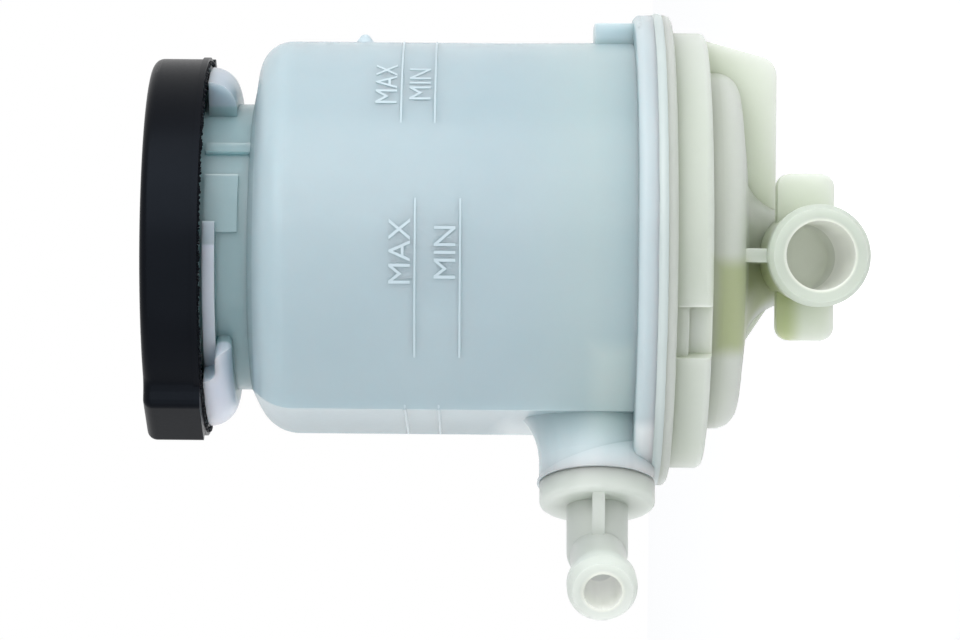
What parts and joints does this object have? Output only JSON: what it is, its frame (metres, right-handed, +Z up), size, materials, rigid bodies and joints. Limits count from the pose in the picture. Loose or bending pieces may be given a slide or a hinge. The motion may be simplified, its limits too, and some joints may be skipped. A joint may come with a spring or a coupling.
{
  "type": "power steering fluid reservoir",
  "caption": "Upright moulded fluid tank with a flat side, bayonet cap on the filler neck, welded base with a suction elbow, and an angled return nozzle on the side.",
  "frame": {"origin": "on the tank axis, half way up the cylindrical strap seat", "axes": "+Z up the tank axis towards the cap, -Y towards the mouth of the suction port, -X towards the flat side with the return nozzle"},
  "size_m": [0.1182, 0.0938, 0.14],
  "materials": {
    "tank_plastic": "natural translucent polypropylene, satin",
    "base_plastic": "natural polypropylene, satin",
    "nozzle_plastic": "natural polypropylene, satin",
    "cap_plastic": "black, semi-gloss",
    "gasket_rubber": "matt black",
    "disc_plastic": "natural, satin",
    "strainer_plastic": "natural, satin",
    "mesh_nylon": "woven screen"
  },
  "bodies": {
    "reservoir": {"upper_body": "tank_plastic", "lower_body": "base_plastic", "return_nozzle": "nozzle_plastic", "strainer_frame": "strainer_plastic", "strainer_mesh": "mesh_nylon"},
    "cap_seal": {"cap_gasket": "gasket_rubber"},
    "cap": {"cap_shell": "cap_plastic", "cap_splash_disc": "disc_plastic"}
  },
  "joints": [
    {"name": "cap_rise", "type": "slide", "parent": "reservoir", "child": "cap_seal", "axis": [0, 0, 1], "range_m": [0, 0.004]},
    {"name": "cap_turn", "type": "hinge", "parent": "cap_seal", "child": "cap", "pos_m": [0, 0, 0.0378], "axis": [0, 0, 1], "range_deg": [0, 90]}
  ],
  "couplings": [
    {"joint": "cap_rise", "follows": "cap_turn", "m_per_rad": 0.0025465}
  ]
}
